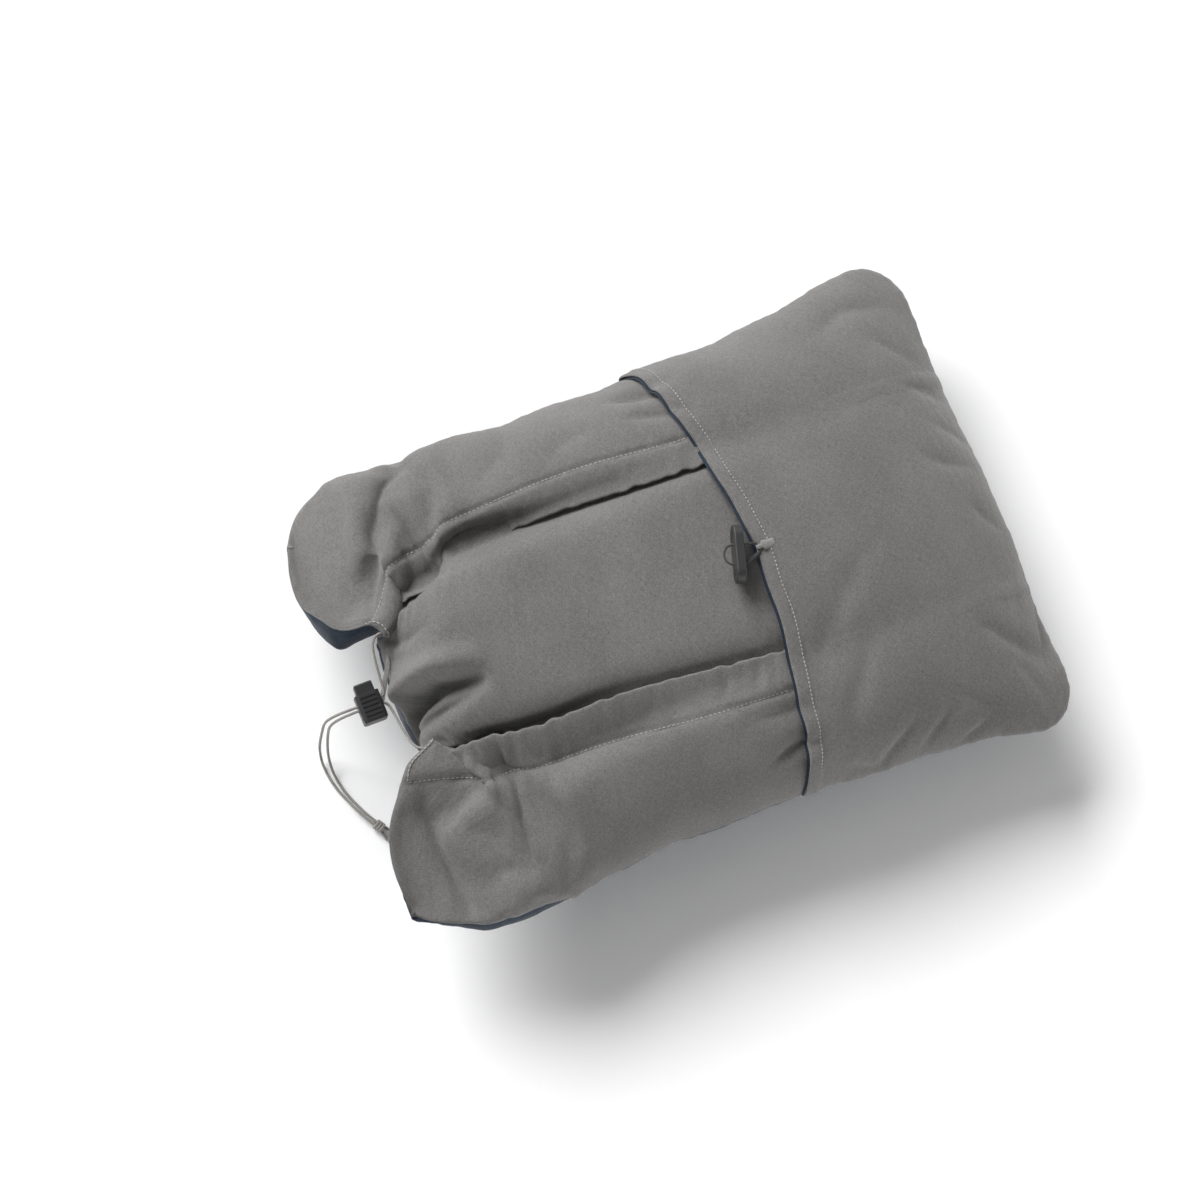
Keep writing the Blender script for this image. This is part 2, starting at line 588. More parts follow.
def spline_weights(f):
    """Catmull-Rom weights of four neighbours, at f of the way between the middle two."""
    return (
        -0.5 * f + f * f - 0.5 * f**3,
        1 - 2.5 * f * f + 1.5 * f**3,
        0.5 * f + 2 * f * f - 1.5 * f**3,
        -0.5 * f * f + 0.5 * f**3,
    )


def with_margin(grid):
    """The grid with one more row and column on each side, for the spline."""
    wide = np.concatenate([2 * grid[:1] - grid[1:2], grid, 2 * grid[-1:] - grid[-2:-1]])
    first, last = 2 * wide[:, :1] - wide[:, 1:2], 2 * wide[:, -1:] - wide[:, -2:-1]
    return np.concatenate([first, wide, last], axis=1)


grids = {1: with_margin(back_grid), -1: with_margin(face_grid)}


def point_at(side, a, b):
    """Points of the back (side 1) or the face (side -1), through the simulated ones."""
    grid = grids[side]
    u = np.clip((a / LENGTH + 0.5) * columns, 0, columns)
    v = np.clip((b / WIDTH + 0.5) * rows, 0, rows)
    i, j = np.minimum(u.astype(int), columns - 1), np.minimum(v.astype(int), rows - 1)
    total = 0
    for k, wk in enumerate(spline_weights(u - i)):
        for m, wm in enumerate(spline_weights(v - j)):
            total = total + (wk * wm)[..., None] * grid[i + k, j + m]
    return total


def unit(vectors):
    """Vectors made one long."""
    return vectors / np.maximum(np.linalg.norm(vectors, axis=-1, keepdims=True), 1e-12)


def normal_at(side, a, b):
    """The surface's own normal."""
    step = 0.0015
    low_a, high_a = np.maximum(a - step, -LENGTH / 2), np.minimum(a + step, LENGTH / 2)
    low_b, high_b = np.maximum(b - step, -WIDTH / 2), np.minimum(b + step, WIDTH / 2)
    across = point_at(side, a, high_b) - point_at(side, a, low_b)
    along = point_at(side, high_a, b) - point_at(side, low_a, b)
    return unit(np.cross(along, across)) * side


def outward(side, a, b):
    """The surface's normal, turning into the seam's own outward direction at the edge."""
    to_a, to_b = LENGTH / 2 - abs(a), WIDTH / 2 - abs(b)
    edge_a = np.where(to_a < to_b, np.sign(a) * LENGTH / 2, a)
    edge_b = np.where(to_a < to_b, b, np.sign(b) * WIDTH / 2)
    in_a = np.where(to_a < to_b, edge_a - np.sign(a) * 0.005, edge_a)
    in_b = np.where(to_a < to_b, edge_b, edge_b - np.sign(b) * 0.005)
    edge = point_at(1, edge_a, edge_b)
    seam = unit(sum(
        normal_at(s, edge_a, edge_b) + unit(edge - point_at(s, in_a, in_b)) for s in (1, -1)
    ))
    share = np.exp(-((np.minimum(to_a, to_b) / 0.005) ** 2))[..., None]
    return unit(normal_at(side, a, b) * (1 - share) + seam * share)


def ripple(t, waves):
    """A smooth uneven ripple along t: a sum of (wavelength, phase, share) waves."""
    return sum(share * np.sin(2 * pi * t / wave + phase) for wave, phase, share in waves)


GATHER = ((0.0135, 0.4, 0.5), (0.0192, 2.1, 0.6), (0.0311, 4.0, 0.35))
SEAM_PUCKER = ((0.0092, 1.0, 0.35), (0.0151, 2.6, 0.5), (0.0277, 0.3, 0.6))


def eased_line(a, at, values, ease=0.006):
    """The line through values at those a, with its corners eased."""
    return sum(np.interp(a + step * ease, at, values) for step in range(-4, 5)) / 9


def fold_line(a, b):
    """The folded edge of a tunnel, over the centre panel. The pillow lies a little rolled, so the left
    one swings out and the right one in."""
    at = [-0.292, -0.265, -0.236, -0.196, -0.155, -0.118, -0.06, 0.0, 0.06, 0.292]
    left = eased_line(a, at, [0.088, 0.080, 0.072, 0.076, 0.082, 0.087, 0.085, 0.080, 0.077, 0.080])
    right = eased_line(a, at, [0.088, 0.077, 0.066, 0.061, 0.063, 0.064, 0.064, 0.070, 0.077, 0.080])
    return np.where(b > 0, left, right)


def stitch_line(a, b):
    """The row of stitches that closes a tunnel."""
    at = [-0.292, -0.25, -0.20, -0.14, -0.08, -0.02, 0.03, 0.07, 0.292]
    left = eased_line(a, at, [0.113, 0.110, 0.106, 0.107, 0.111, 0.110, 0.104, 0.101, 0.106])
    right = eased_line(a, at, [0.112, 0.108, 0.097, 0.090, 0.093, 0.101, 0.104, 0.106, 0.106])
    return np.where(b > 0, left, right)


def valley_depth(a, b):
    """How deep the centre panel dips under the folded edge of a tunnel."""
    left_at = [-0.292, -0.25, -0.21, -0.14, -0.06, 0.03, 0.292]
    right_at = [-0.292, -0.25, -0.19, -0.11, -0.06, 0.03, 0.292]
    left = eased_line(a, left_at, [0.001, 0.004, 0.005, 0.004, 0.003, 0.002, 0])
    right = eased_line(a, right_at, [0.001, 0.005, 0.012, 0.011, 0.006, 0.004, 0])
    return np.where(b > 0, left, right)


CREASES = (  # depth, half width, sharpness and points of each crease, in millimetres of the pattern
    (12, 8, 1.2, (-148, 218), (-164, 178), (-200, 147), (-226, 129), (-256, 119), (-286, 108)),
    (3, 7, 1.4, (-215, 185), (-234, 152), (-264, 124)),
    (2.6, 6, 1.4, (-290, 162), (-286, 128), (-274, 104)),
    (30, 7.2, 1.6, (-286, -40), (-268, -20), (-240, -14), (-205, -11), (-168, -16)),
    (-12, 10, 2, (-270, 0), (-236, 3), (-200, 5), (-165, -1)),
    (8, 5, 1.4, (-274, -36), (-240, -31), (-212, -28), (-180, -25)),
    (5, 7, 1.4, (-272, 58), (-240, 40), (-222, 34), (-198, 36)),
    (3, 6, 1.4, (-262, 36), (-240, 26), (-216, 20)),
    (7.5, 6, 1.2, (-270, -112), (-250, -132), (-236, -158), (-230, -188), (-232, -205)),
    (3.4, 7, 1.5, (-250, -108), (-208, -118), (-172, -144)),
    (3.2, 6, 1.4, (-240, -126), (-212, -142), (-182, -160)),
    (3, 5.5, 1.4, (-216, -176), (-206, -160), (-186, -164)),
    (2.6, 8, 1.6, (-170, -125), (-140, -150), (-125, -185)),
    (2.4, 9, 1.6, (-110, 128), (-80, 150), (-70, 185)),
    (2, 9, 1.6, (-60, 120), (-30, 138), (-10, 140)),
    (6, 6.5, 1.6, (18, 163), (44, 156), (66, 152)),
    (4.4, 5.5, 1.4, (22, 138), (46, 131), (66, 122)),
    (2, 3.6, 1.6, (20, 130), (27, 112), (26, 104)),
    (2, 3.6, 1.6, (36, 122), (40, 108), (46, 98)),
    (1.8, 3.6, 1.6, (52, 98), (58, 82)),
    (6.5, 6.5, 1.6, (22, -156), (46, -149), (70, -146)),
    (3, 6, 1.6, (20, -118), (44, -120), (66, -122)),
    (2.2, 3.6, 1.6, (30, -96), (37, -84), (36, -74)),
    (1.8, 3.6, 1.6, (-54, -84), (-44, -68)),
    (1.8, 3.6, 1.6, (8, -92), (14, -76)),
    (1.8, 5.5, 1.4, (226, 94), (246, 82), (270, 70)),
    (1.6, 5, 1.4, (236, 54), (254, 42), (278, 24)),
    (2, 4.5, 1.4, (230, 136), (240, 124), (254, 108)),
    (2, 5, 1.4, (212, 32), (228, 18), (256, 10)),
    (2, 5, 1.4, (240, -18), (248, -30), (262, -44)),
    (2.6, 4, 1.4, (284, -106), (276, -136), (266, -162)),
    (2.4, 10, 1.8, (146, -22), (112, -52), (88, -78), (74, -112)),
    (2.6, 8, 1.8, (124, -92), (98, -128), (86, -166)),
    (3, 9, 1.6, (192, 150), (225, 166), (262, 160)),
    (4, 6.5, 1.3, (212, -106), (238, -128), (266, -152)),
    (3.8, 6.5, 1.3, (176, -146), (206, -168), (228, -198)),
    (3, 6, 1.3, (235, -140), (250, -160), (262, -188)),
    (4, 6, 1.3, (114, -196), (124, -182), (148, -158)),
    (3.2, 5.2, 1.3, (148, -192), (164, -174), (182, -158)),
    (2.8, 4.5, 1.3, (182, -198), (192, -190), (210, -180)),
    (2.6, 5.5, 1.3, (86, -180), (104, -192), (118, -207)),
)


def crease_depth(a, b):
    """How far the creases sink into the cloth, deepest half-way along each."""
    a, b = a / MM, b / MM
    total = 0
    for deep, half, sharp, *line in CREASES:
        gap, share = np.full(np.shape(a), np.inf), np.zeros(np.shape(a))
        for number, ((a0, b0), (a1, b1)) in enumerate(zip(line, line[1:])):
            da, db = a1 - a0, b1 - b0
            s = np.clip(((a - a0) * da + (b - b0) * db) / (da * da + db * db), 0, 1)
            off = np.hypot(a - a0 - s * da, b - b0 - s * db)
            share = np.where(off < gap, (number + s) / (len(line) - 1), share)
            gap = np.minimum(off, gap)
        total = total + deep * np.exp(-((gap / half) ** sharp)) * (0.3 + 0.7 * np.sin(pi * share))
    return total * MM


def seam_dip(a, b):
    """The seam sinks in, and its stitching puckers the cloth beside it."""
    gap = edge_distance(a, b)
    way = np.where(LENGTH / 2 - abs(a) < WIDTH / 2 - abs(b), b, a)
    pucker = 0.0006 * ripple(way, SEAM_PUCKER) * np.exp(-gap / 0.011) * (1 - np.exp(-gap / 0.002))
    return pucker - 0.0022 * np.exp(-((gap / 0.0035) ** 2))


def back_surface(a, b, height=0.0):
    """Points of the back's cloth, with height above it."""
    cover = 1 - np.exp(-((edge_distance(a, b) / 0.004) ** 2))
    shift = seam_dip(a, b) - crease_depth(a, b) * cover + height * cover
    return point_at(1, a, b) + outward(1, a, b) * shift[..., None]


def face_surface(a, b):
    """Points of the face's cloth."""
    return point_at(-1, a, b) + outward(-1, a, b) * seam_dip(a, b)[..., None]


# ---------------------------------------------------------------- making pieces

def mesh_piece(name, points, faces, uvs, material, body="pillow", nodes=()):
    """A smooth mesh with a map in metres of the pattern, riding on a body."""
    mesh = bpy.data.meshes.new(name)
    mesh.from_pydata([tuple(p) for p in points.tolist()], [], [tuple(f) for f in faces])
    mesh.polygons.foreach_set("use_smooth", [True] * len(mesh.polygons))
    layer = mesh.uv_layers.new(name="pattern")
    corners = np.empty(len(mesh.loops), np.int32)
    mesh.loops.foreach_get("vertex_index", corners)
    layer.data.foreach_set("uv", uvs[corners].astype(np.float32).ravel())
    mesh.materials.append(material)
    mesh.update()
    piece = bpy.data.objects.new(name, mesh)
    scene.collection.objects.link(piece)
    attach(piece, body)
    if nodes:
        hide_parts(*nodes)
    return piece


def grid_piece(name, points, a, b, material, nodes=(), flipped=False):
    """A piece from a grid of points, which lie at a, b in the pattern."""
    ids = np.arange(a.size).reshape(a.shape)
    uvs = np.stack([a.ravel(), b.ravel()], -1)
    points, faces = points.reshape(-1, 3), quads(ids, flipped)
    return mesh_piece(name, points, faces, uvs, material, nodes=nodes)


def turned_in(edge, centre_x):
    """The edge moved in by a seam allowance, towards the middle of the pillow."""
    return edge + unit(np.array([centre_x, 0.0, SEAM_Z]) - edge) * 0.004


def spread(start, stop, step):
    """Even values from start to stop, about a step apart."""
    return np.linspace(start, stop, max(2, int(round(abs(stop - start) / step)) + 1))


FINE = 0.0028  # cell of the visible cloth
ALONG, ACROSS = spread(-LENGTH / 2, LENGTH / 2, FINE), spread(-WIDTH / 2, WIDTH / 2, FINE)


def make_body():
    """The filled body: the navy sleeping face, closed over the top just under the back's panels."""
    a, b = np.meshgrid(ALONG, ACROSS, indexing="ij")
    face = face_surface(a, b)
    end = smooth((-0.212 - a) / 0.03) * smooth((0.075 - abs(b)) / 0.02)
    top = back_surface(a, b, -0.0014 - 0.005 * end)
    share = (smooth(edge_distance(a, b) / 0.03) * (1 - end))[..., None]
    top = top + 0.36 * (face - top) / 2 * share - np.array([0, 0, 0.004]) * share
    top_ids = np.arange(a.size).reshape(a.shape)
    within = np.zeros(a.shape, bool)
    within[1:-1, 1:-1] = True
    low_ids = top_ids.copy()
    low_ids[within] = a.size + np.arange(within.sum())
    points = np.vstack([top.reshape(-1, 3), face[within]])
    faces = np.vstack([quads(top_ids), quads(low_ids, True)])
    uvs = np.stack([np.concatenate([flat.ravel(), flat[within]]) for flat in (a, b)], -1)
    return mesh_piece(
        "pillow_body", points, faces, uvs, navy_cloth,
        nodes=(
            "face_panel", "foam_fill", "tunnel_facing_left", "tunnel_facing_right",
            "drawcord_run_left", "drawcord_run_right", "cord_anchor_left", "cord_anchor_right",
        ),
    )


pillow_body = make_body()


def gathering(a):
    """How strongly the cord gathers the cloth: most near its exit, and again at the pocket's hem."""
    at = [-0.292, -0.262, -0.235, -0.16, -0.08, -0.03, 0.04, 0.10]
    return np.interp(a, at, [0, 0, 0.45, 0.6, 0.35, 0.15, 0.55, 0.1])


def make_centre():
    """The centre panel, which dips under the folded edges of the tunnels."""
    a, t = np.meshgrid(ALONG, np.linspace(-1, 1, 72), indexing="ij")
    b = t * (fold_line(a, t) + 0.010)
    gap = np.maximum(0, fold_line(a, b) - abs(b))
    dip = valley_depth(a, b) * np.exp(-((gap / np.where(b > 0, 0.007, 0.014)) ** 2)) + 0.0006
    swell = 0.008 * smooth(gap / 0.055) * smooth((-0.04 - a) / 0.13) * smooth((a + 0.290) / 0.07)
    pleats = 0.0022 * gathering(a) * ripple(a + 0.25 * gap, GATHER)
    pleats = pleats * np.exp(-(((gap - 0.010) / 0.014) ** 2))
    swell = swell + pleats * smooth((-0.13 - a) / 0.08) * smooth((a + 0.285) / 0.03)
    points = back_surface(a, b, swell - dip)
    return grid_piece("back_centre", points, a, b, grey_cloth, ("back_centre_panel",))


make_centre()


GATHER_SHIFT = {1: 0.013, -1: 0.0}  # so that the two tunnels don't gather alike


def tunnel_edge(a, side):
    """The folded edge of a tunnel, with the cord's gathers."""
    gathers = gathering(a) * ripple(a + GATHER_SHIFT[side], GATHER)
    return fold_line(a, side) + 0.0015 * gathers * smooth((a + 0.262) / 0.06)


def side_height(a, b, side):
    """Height of a side panel over the back: the round of its tunnel, the gathers, the stitches."""
    fold, stitch = fold_line(a, b), stitch_line(a, b)
    gap = abs(b) - fold
    share = np.clip(gap / (stitch - fold), 0, 1)
    round_ = (0.0014 + 0.0010 * gathering(a)) * np.sin(pi * share) + 0.0012 * (1 - share)
    pleats = 0.0017 * gathering(a) * ripple(a + GATHER_SHIFT[side] + 0.15 * gap, GATHER)
    pleats = pleats * np.exp(-((gap - 0.006) / 0.018) ** 2)
    sink = 0.35 * valley_depth(a, b) * np.exp(-((gap / 0.020) ** 2))
    seam = 0.0017 * np.exp(-(((abs(b) - stitch) / 0.0018) ** 2))
    seam = seam - 0.0007 * smooth((stitch - abs(b)) / 0.002)
    hollow = eased_line(a, [-0.215, -0.180, -0.148, -0.115, -0.085], [0, 0.010, 0.021, 0.012, 0])
    hollow = np.where(b > 0, hollow, 0) * np.exp(-(((gap - 0.003) / 0.0088) ** 2))
    return 0.0008 + round_ + pleats - sink - seam - hollow


def rolled(edge, back, up, profile):
    """Rows of cloth turned under at an edge, one for each (back, up) of the profile, in millimetres."""
    return [edge + back * (in_ * MM) + up * (rise * MM) for in_, rise in profile]


def make_side(name, side, node):
    """A side panel with its drawcord tunnel, whose folded edge lies over the centre panel."""
    a, t = np.meshgrid(ALONG, np.linspace(0, 1, 56) ** 1.15, indexing="ij")
    start = tunnel_edge(a, side)
    b = side * (start + t * (WIDTH / 2 - start))
    points = back_surface(a, b, side_height(a, b, side))
    edge = points[:, :1]
    roll = (0.15 + 0.85 * smooth((a[:, :1] + 0.286) / 0.05))[..., None]
    turned = rolled(
        edge, roll * unit(points[:, 1:2] - edge), roll * outward(1, a[:, :1], b[:, :1]),
        ((5, -2.2), (1, -2.2), (-0.6, -1.8), (-1.1, -1.1), (-0.6, -0.4)),
    )
    points = np.concatenate(turned + [points, turned_in(points[:, -1:], 0.0)], axis=1)
    a, b = (np.concatenate([flat[:, :1]] * 5 + [flat, flat[:, -1:]], axis=1) for flat in (a, b))
    return grid_piece(name, points, a, b, grey_cloth, (node,), flipped=side < 0)


make_side("back_side_left", 1, "back_side_panel_left")
make_side("back_side_right", -1, "back_side_panel_right")


HEM_WAVE = ((0.083, 0.7, 0.6), (0.047, 2.0, 0.4))
HEM_STITCH = 0.0090  # from the pocket's mouth to its row of stitches


def hem_line(b):
    """The pocket's mouth."""
    return 0.0625 - 0.0175 * (abs(b) / (WIDTH / 2)) ** 2.2 + 0.0010 * ripple(b, HEM_WAVE)


def mouth_lift(b):
    """How far the mouth stands off the back: most in the middle, where the toggle is sewn."""
    at = [-0.2095, -0.185, -0.148, -0.110, -0.060, -0.020, 0.020, 0.060, 0.110, 0.152, 0.185, 0.2095]
    up = [0.0003, 0.0015, 0.0062, 0.0028, 0.0048, 0.0080, 0.0080, 0.0048, 0.0028, 0.0070, 0.0015, 0.0003]
    fine = np.linspace(-WIDTH / 2, WIDTH / 2, 241)
    rough = np.interp(fine, at, up)
    for _ in range(40):
        rough[1:-1] = (rough[:-2] + 2 * rough[1:-1] + rough[2:]) / 4
    return np.interp(b, fine, rough)


def pocket_height(a, b):
    """Height of the pocket over the back."""
    behind = np.maximum(0, a - hem_line(b))
    return 0.0030 + mouth_lift(b) * (1 - smooth(behind / 0.115)) - 0.0006 * np.exp(-behind / 0.002)


def pocket_grid(start, stop, step):
    """A grid from start to stop behind the mouth, or to the end seam if stop is None."""
    along = spread(0, 1, step / (stop or LENGTH / 2 - 0.06))
    t, b = np.meshgrid(along, ACROSS, indexing="ij")
    first = hem_line(b) + start
    last = hem_line(b) + stop if stop else LENGTH / 2
    return first + t * (last - first), b


def pocket_piece(name, points, a, b, material, node, ends=False):
    """A layer of the pocket, its edges turned in under the seam; ends says whether its last row too."""
    first, last = turned_in(points[:, :1], 0.06), turned_in(points[:, -1:], 0.06)
    points = np.concatenate([first, points, last], axis=1)
    a, b = (np.concatenate([flat[:, :1], flat, flat[:, -1:]], axis=1) for flat in (a, b))
    if ends:
        points = np.concatenate([points, turned_in(points[-1:], 0.06)])
        a, b = (np.concatenate([flat, flat[-1:]]) for flat in (a, b))
    return grid_piece(name, points, a, b, material, (node,))


def make_pocket():
    """The stow pocket's panel, its hem and its lining."""
    a, b = pocket_grid(0.010, None, FINE)
    points = back_surface(a, b, pocket_height(a, b))
    panel = pocket_piece("pocket_cloth", points, a, b, grey_cloth, "pocket_panel", True)
    a, b = pocket_grid(0.0, 0.0122, 0.0012)
    ridge = 0.0005 - 0.0005 * np.exp(-(((a - hem_line(b) - HEM_STITCH) / 0.0010) ** 2))
    ridge = ridge - 0.0007 * smooth((a - hem_line(b) - 0.0112) / 0.0010)
    points = back_surface(a, b, pocket_height(a, b) + ridge)
    turned = rolled(
        points[:1], unit(points[1:2] - points[:1]), outward(1, a[:1], b[:1]),
        ((10, -2.0), (1, -1.9), (-0.6, -1.5), (-0.9, -0.9), (-0.5, -0.3)),
    )
    points = np.concatenate(turned + [points])
    a, b = (np.concatenate([flat[:1]] * 5 + [flat]) for flat in (a, b))
    hem = pocket_piece("pocket_mouth_hem", points, a, b, grey_cloth, "pocket_hem")
    a, b = pocket_grid(-0.0026, 0.070, 0.004)
    points = back_surface(a, b, np.minimum(pocket_height(a, b) - 0.0024, 0.02))
    lining = pocket_piece("pocket_inside", points, a, b, navy_cloth, "pocket_lining")
    return panel, hem, lining


pocket_cloth, pocket_mouth_hem, pocket_inside = make_pocket()


# ---------------------------------------------------------------- stitches

def ring_faces(first, rings, sides):
    """The faces between rings of points, numbered on from first, without the ends."""
    return [
        (low + k, low + (k + 1) % sides, low + sides + (k + 1) % sides, low + sides + k)
        for low in range(first, first + (rings - 1) * sides, sides) for k in range(sides)
    ]


def end_faces(first, rings, sides):
    """The faces that close the two ends of such a tube."""
    last = first + (rings - 1) * sides
    return [tuple(first + k for k in reversed(range(sides))), tuple(last + k for k in range(sides))]


def stitch_row(name, starts, ends, ups, radius=0.00044, material=thread, nodes=()):
    """Separate stitches of thread, each a small arched capsule from its start to its end."""
    along = np.array([0.0, 0.12, 0.5, 0.88, 1.0])
    arch = np.array([-0.9, 0.3, 0.9, 0.3, -0.9])
    thick = np.array([0.45, 0.95, 1.0, 0.95, 0.45])
    turns = np.arange(6) * pi / 3
    size = len(along) * len(turns)
    way = ends - starts
    sides = unit(np.cross(ups, way))
    points, faces = [], []
    for number, (start, step, up, side) in enumerate(zip(starts, way, ups, sides)):
        for s, lift, r in zip(along, arch, thick):
            centre = start + step * s + up * lift * radius
            points += [centre + radius * r * (np.cos(t) * up + np.sin(t) * side) for t in turns]
        faces += ring_faces(number * size, 5, 6) + end_faces(number * size, 5, 6)
    points = np.array(points)
    return mesh_piece(name, points, faces, points[:, :2], material, nodes=nodes)


def sewn(name, a, b, height, pitch=0.0034, gap=0.0009, **options):
    """A row of stitches along the pattern's line a, b, at that height over the back."""
    line = back_surface(a, b, height)
    up = outward(1, a, b)
    way = np.concatenate([[0], np.cumsum(np.linalg.norm(np.diff(line, axis=0), axis=1))])
    first = np.arange(0.001, way[-1] - pitch, pitch)

    def on(values, s):
        return np.stack([np.interp(s, way, values[:, i]) for i in range(3)], -1)

    starts, ends = on(line, first), on(line, first + pitch - gap)
    return stitch_row(name, starts, ends, unit(on(up, first)), **options)


TUNNEL_END = -0.283  # where the tunnels' stitches turn across
for label, side in (("left", 1), ("right", -1)):
    a = np.linspace(TUNNEL_END, 0.075, 400)
    b = side * stitch_line(a, side)
    sewn(f"tunnel_stitches_{label}", a, b, side_height(a, b, side) + 0.0004)
    fold, stitch = float(fold_line(TUNNEL_END, side)), float(stitch_line(TUNNEL_END, side))
    b = side * np.linspace(fold + 0.001, stitch, 60)
    a = np.full_like(b, TUNNEL_END)
    sewn(f"tunnel_end_stitches_{label}", a, b, side_height(a, b, side) + 0.0004)
b = np.linspace(-WIDTH / 2 + 0.006, WIDTH / 2 - 0.006, 400)
a = hem_line(b) + HEM_STITCH
sewn("hem_stitches", a, b, pocket_height(a, b) + 0.0002, pitch=0.0030)


def make_bartack():
    """The bar tack that holds the toggle's loop to the hem: a close zigzag over two base threads."""
    x = np.linspace(0.0622, 0.0768, 34)
    y = np.where(np.arange(34) % 2, 1, -1) * np.where(x < 0.0668, 0.0017, 0.0036)
    ramp = np.interp(x, [0.062, 0.0682, 0.072, 0.0768], [0.1466, 0.1466, 0.1445, 0.1438])
    line = np.stack([x, y, ramp], -1)
    base = np.array([[0.0622, -0.0013, 0.1462], [0.0622, 0.0013, 0.1462]])
    starts = np.vstack([line[:-1], base])
    ends = np.vstack([line[1:], base + np.array([0.0146, 0, -0.0022])])
    ups = np.tile([0.0, 0.0, 1.0], (len(starts), 1))
    return stitch_row("toggle_tack", starts, ends, ups, 0.00042, tack_thread, ("toggle_bartack",))


make_bartack()


# ---------------------------------------------------------------- lock tab, knot, cords

def make_tab():
    """A flat webbing strap, from the end of the centre panel to the lock."""
    s, t = np.meshgrid(np.linspace(0, 1, 26), np.linspace(-1, 1, 9), indexing="ij")
    x = -0.2045 + s * (-0.221 + 0.2045)
    y = 0.0275 - s * 0.028 + t * 0.0035
    z = 0.0955 + 0.0002 * np.sin(pi * s)
    centre = np.stack([x, y, z], -1)
    half = 0.00048 * np.sqrt(np.maximum(0, 1 - t**6))[..., None] * np.array([0, 0, 1.0])
    top, low = centre + half, centre - half
    count = s.size
    ids = np.arange(count).reshape(s.shape)
    faces = [tuple(f) for f in quads(ids)[:, ::-1]] + [tuple(f + count) for f in quads(ids)]
    edges = list(ids[:, 0]) + list(ids[-1, 1:]) + list(ids[-2::-1, -1]) + list(ids[0, -2:0:-1])
    for one, two in zip(edges, edges[1:] + edges[:1]):
        faces.append((one, two, two + count, one + count))
    points = np.vstack([top.reshape(-1, 3), low.reshape(-1, 3)])
    uvs = np.stack([points[:, 0], points[:, 1]], -1)
    return mesh_piece("lock_webbing", points, faces, uvs, webbing, nodes=("lock_tab",))


make_tab()


def tube(points, radius, sides=10):
    """The points and faces of a tube along a line, closed at both ends."""
    points = np.asarray(points, float)
    way = unit(np.gradient(points, axis=0))
    up = np.array([0.0, 0.0, 1.0])
    rings = []
    for place, step in zip(points, way):
        up = unit(up - step * np.dot(up, step))
        side = np.cross(step, up)
        turns = np.arange(sides) * 2 * pi / sides
        rings.append([place + radius * (np.cos(t) * up + np.sin(t) * side) for t in turns])
    faces = ring_faces(0, len(points), sides) + end_faces(0, len(points), sides)
    return np.array(rings).reshape(-1, 3), faces


def make_knot():
    """Both cords tied together in one overhand knot, with two short cut tails."""
    way = np.array([0.51, -0.86, 0.0])
    way /= np.linalg.norm(way)
    side = np.array([-way[1], way[0], 0.0])
    up = np.array([0.0, 0.0, 1.0])
    face = np.array([-0.2472, -0.0658, 0.0042])
    points, faces = [], []

    def add(line, radius):
        ring, quad = tube(line, radius)
        first = sum(len(p) for p in points)
        points.append(ring)
        faces.extend(tuple(f + first for f in q) for q in quad)

    for turn in range(3):
        angle = np.linspace(0, 2 * pi, 40) + turn * 2.1
        reach = 0.0022 + turn * 0.0022 + 0.0007 * np.sin(angle)
        line = face + np.outer(reach, way) + np.outer(0.0029 * np.cos(angle), side)
        line += np.outer(0.0027 * np.sin(angle), up)
        add(line, 0.0012)
    for sign in (1, -1):
        s = np.linspace(0, 1, 16)
        bend = sign * (0.0011 + 0.0028 * s * s)
        line = face + np.outer(-0.001 + 0.0165 * s, way) + np.outer(bend, side)
        line += np.outer(-0.0026 * smooth((s - 0.45) / 0.5), up)
        add(line, 0.00105)
    points = np.vstack(points)
    return mesh_piece(
        "cord_end_knot", points, faces, points[:, :2], light_cord, nodes=("cord_knot",)
    )


knot = make_knot()
free_cord("drawcord_left", left_route, ["drawcord_left_end"])
free_cord("drawcord_right", right_route, ["drawcord_right_end"])


def make_spring():
    """The coil that pushes the lock's button out, and shortens as it's pressed in."""
    turn = np.linspace(0, 3 * 2 * pi, 100)
    y = -0.01065 + 0.0057 * turn / turn[-1]
    line = np.stack([-0.230 + 0.003 * np.cos(turn), y, 0.100 + 0.003 * np.sin(turn)], -1)
    points, faces = tube(line, 0.0003, 8)
    coil = mesh_piece(
        "lock_coil", points, faces, points[:, :2], steel, nodes=("lock_spring",)
    )
    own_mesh(coil)


make_spring()


# ---------------------------------------------------------------- finishes of the parts kept from CAD

for name, material in (
    ("lock_body", black_plastic), ("lock_button", black_plastic),
    ("toggle_bar", dark_plastic), ("toggle_loop", elastic),
):
    for slot in bpy.data.objects[name].material_slots:
        slot.material = material


# ---------------------------------------------------------------- floor and light

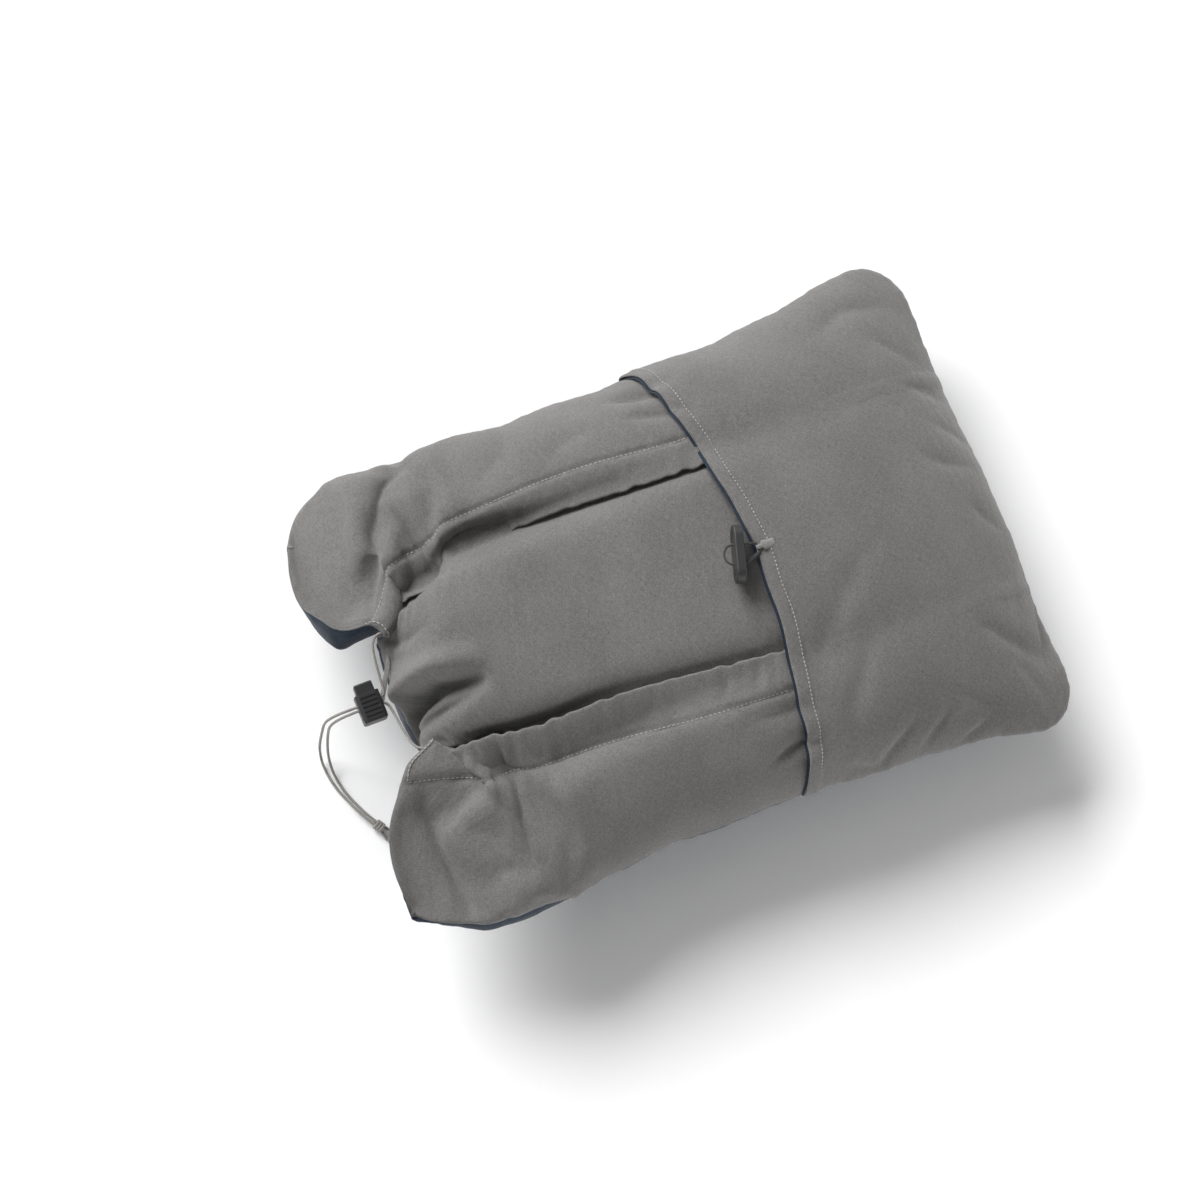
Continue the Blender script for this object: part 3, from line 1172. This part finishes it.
def make_floor():
    """A plain floor that turns up into a backdrop far from the pillow."""
    profile = [(0, 0), (2, 0), (7, 0), (9, 0.15), (10.5, 0.7), (11.6, 1.7), (12.2, 3.2), (12.4, 5.2)]
    turns = np.arange(64) * 2 * pi / 64
    points = [(0, 0, 0)] + [(r * cos(t), r * sin(t), z) for r, z in profile[1:] for t in turns]
    faces = [(0, 1 + k, 1 + (k + 1) % 64) for k in range(64)]
    for ring in range(len(profile) - 2):
        low, high = 1 + ring * 64, 65 + ring * 64
        faces += [(low + k, high + k, high + (k + 1) % 64, low + (k + 1) % 64) for k in range(64)]
    mesh = bpy.data.meshes.new("floor")
    mesh.from_pydata(points, [], faces)
    mesh.polygons.foreach_set("use_smooth", [True] * len(faces))
    mesh.materials.append(studio_floor("studio_floor"))
    floor = bpy.data.objects.new("floor", mesh)
    scene.collection.objects.link(floor)


def window_light(name, way, spread_angle, strength):
    """A far, broad light, which comes down along -way."""
    lamp = bpy.data.lights.new(name, "SUN")
    lamp.angle = radians(spread_angle)
    lamp.energy = strength
    light = bpy.data.objects.new(name, lamp)
    light.rotation_euler = (-Vector(way)).to_track_quat("-Z", "Y").to_euler()
    scene.collection.objects.link(light)


make_floor()
window_light("key", (-0.33, 0.92, 0.47), 50, 8.0)
world = bpy.data.worlds.new("studio")
world.use_nodes = True
background = world.node_tree.nodes["Background"]
place = world.node_tree.nodes.new("ShaderNodeTexCoord")
toward = world.node_tree.nodes.new("ShaderNodeVectorMath")
toward.operation = "DOT_PRODUCT"
toward.inputs[1].default_value = Vector((-0.33, 0.90, 0.56)).normalized()
brighter = world.node_tree.nodes.new("ShaderNodeMapRange")
brighter.inputs[1].default_value, brighter.inputs[2].default_value = -0.4, 1.0
brighter.inputs[3].default_value, brighter.inputs[4].default_value = 0.03, 0.42
world.node_tree.links.new(place.outputs["Generated"], toward.inputs[0])
world.node_tree.links.new(toward.outputs["Value"], brighter.inputs[0])
world.node_tree.links.new(brighter.outputs[0], background.inputs[1])
background.inputs[0].default_value = (1, 1, 1, 1)
scene.world = world
scene.view_settings.view_transform = "Standard"
